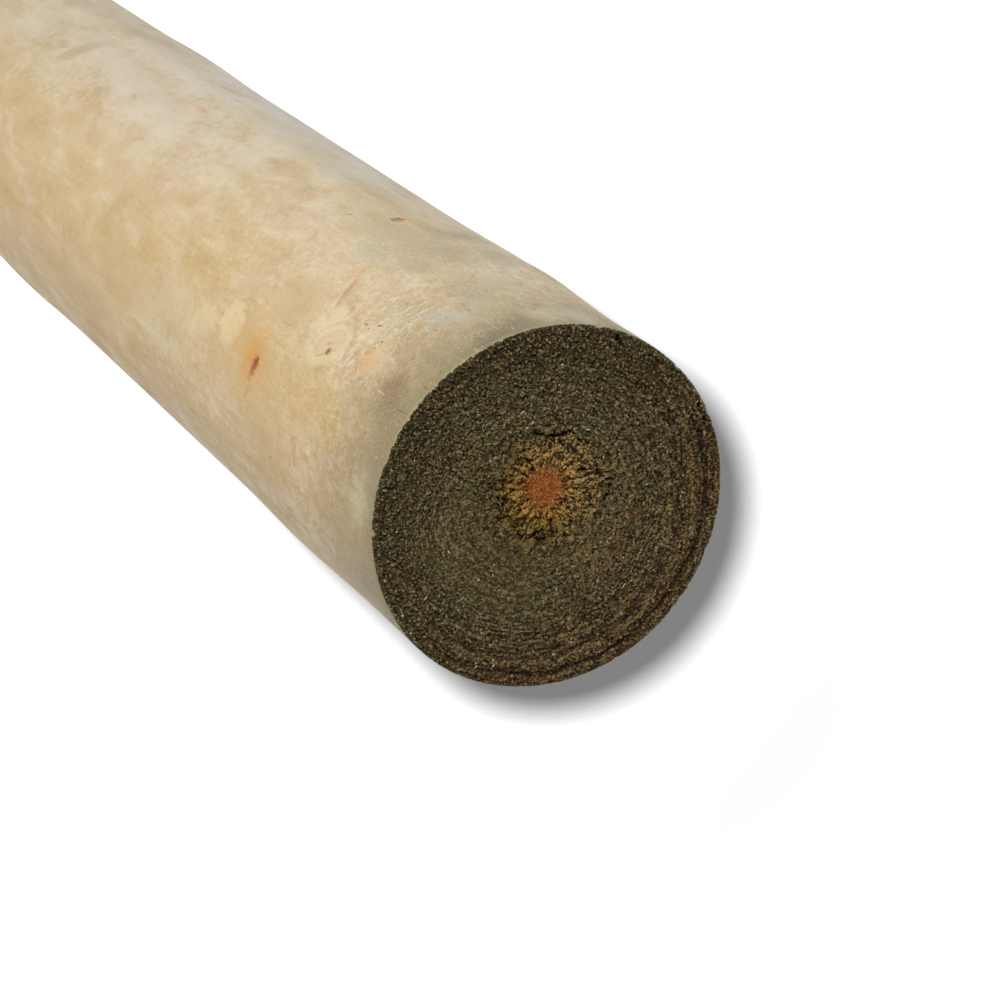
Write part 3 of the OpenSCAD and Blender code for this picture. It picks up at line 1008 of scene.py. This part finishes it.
fibre = addObject("tornFibres", topFaces(pole.data))
runTree(fibre, fibreTree(), {**fibres, "Fibre": fibreMaterial()})
print("pole: %d fibre faces" % len(fibre.data.polygons))

for piece in (pole, fibre):
    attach(piece, "root")
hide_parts("pole")


# Camera: it looks down on the top end, turned about its own axis
view = dict(elevation=59.38, roll=128.67, lens=119.7, aside=14.49, above=-2.53, away=956.7)


def addCamera():
    tilt = math.radians(view["elevation"])
    back = Vector((0, -math.cos(tilt), math.sin(tilt)))
    level = Vector((1, 0, 0))
    lift = back.cross(level)
    right, up = turned(level, lift, view["roll"])
    camera = addObject("camera", bpy.data.cameras.new("camera"))
    spot = topCentre - right * view["aside"] * mm - up * view["above"] * mm + back * view["away"] * mm
    turn = Matrix((right, up, back)).transposed().to_4x4()
    camera.matrix_world = Matrix.Translation(spot) @ turn
    camera.data.sensor_width, camera.data.lens = 36, view["lens"]
    camera.data.clip_start, camera.data.clip_end = 0.01, 100
    scene.camera = camera


addCamera()

# Lamps: direction from the pole, how high up it they aim, distance, size and strength
lamps = [
    dict(name="keyLamp", azimuth=251, elevation=33, away=2.4, size=(0.2, 0.2), power=53, at=1.0),
    dict(name="frontBox", azimuth=330, elevation=0, away=2.4, size=(1.0, 1.1), power=18, at=0.6),
    dict(name="backBox", azimuth=110, elevation=0, away=2.6, size=(1.1, 1.1), power=36, at=0.6)]
# The floor's own lamp is small and close above the viewer, so that the shadow lies just past the pole
floorLamp = dict(name="floorLamp", shape="DISK", size=(0.0155, 0.0155), power=110,
                 right=-0.0102, up=0.0102, nearer=0.025)


def newLamp(lamp, pieces):
    # an area lamp that shines only on the given pieces
    data = bpy.data.lights.new(lamp["name"], "AREA")
    data.shape, data.energy = lamp.get("shape", "RECTANGLE"), lamp["power"]
    data.size, data.size_y = lamp["size"]
    made = addObject(lamp["name"], data)
    made.visible_camera = False
    lights = bpy.data.collections.new(lamp["name"])
    for piece in pieces:
        lights.objects.link(piece)
    made.light_linking.receiver_collection = lights
    return made


def addLamp(lamp):
    made = newLamp(lamp, (pole, fibre))
    azimuth, tilt = math.radians(lamp["azimuth"]), math.radians(lamp["elevation"])
    away = Vector((math.cos(azimuth) * math.cos(tilt), math.sin(azimuth) * math.cos(tilt), math.sin(tilt)))
    target = Vector((topCentre.x, topCentre.y, poleFoot + length * lamp["at"]))
    made.location = target + away * lamp["away"]
    made.rotation_euler = away.to_track_quat("Z", "Y").to_euler()


def addFloorLamp(floor):
    made = newLamp(floorLamp, (floor,))
    shift = Matrix.Translation((floorLamp["right"], floorLamp["up"], -floorLamp["nearer"]))
    made.matrix_world = scene.camera.matrix_world @ shift


# Surroundings: white where the camera looks, an even soft light elsewhere
surround = dict(light=0.24, floorWidth=60, floorGlow=0.5, glowFrom=0.2, glowTo=0.62, glowMiddle=(0.03, 1.26))


def cameraSees(net):
    path = net.node("ShaderNodeLightPath")
    outputs = path.socket.node.outputs
    seen = [Wire(net, outputs[name]) for name in ("Is Camera Ray", "Is Glossy Ray", "Is Transmission Ray")]
    return least(seen[0] + seen[1] + seen[2], 1.0)


def addWorld():
    world = bpy.data.worlds.new("surroundings")
    scene.world = world
    world.use_nodes = True
    net = Net(world.node_tree)
    strength = cameraSees(net) * (1 - surround["light"]) + surround["light"]
    net.feed(net.tree.nodes["Background"], {"Color": (1, 1, 1, 1), "Strength": strength})


def addFloor():
    half = surround["floorWidth"] / 2
    plane = bpy.data.meshes.new("floor")
    corners = [(-half, -half, 0), (half, -half, 0), (half, half, 0), (-half, half, 0)]
    plane.from_pydata(corners, [], [(0, 1, 2, 3)])
    floor = addObject("floor", plane)
    material, net, shader = newMaterial("floor")
    seen = cameraSees(net)
    x, y, _ = parts(net.node("ShaderNodeTexCoord", None, "Object"))
    mx, my = surround["glowMiddle"]
    away = root((x - mx) * (x - mx) + (y - my) * (y - my))
    glow = fade(away, surround["glowFrom"], surround["glowTo"]) * surround["floorGlow"]
    net.feed(shader, {
        "Base Color": mix(seen, paint(112, 112, 112), paint(246, 246, 246)),
        "Roughness": 0.9, "Specular IOR Level": 0.0,
        "Emission Color": mix(seen * glow, (0, 0, 0, 1), (1, 1, 1, 1)), "Emission Strength": 1.0})
    floor.data.materials.append(material)
    return floor


for lamp in lamps:
    addLamp(lamp)
addWorld()
addFloorLamp(addFloor())
scene.view_settings.view_transform = "Standard"
print("pole: camera, lamps and floor set")
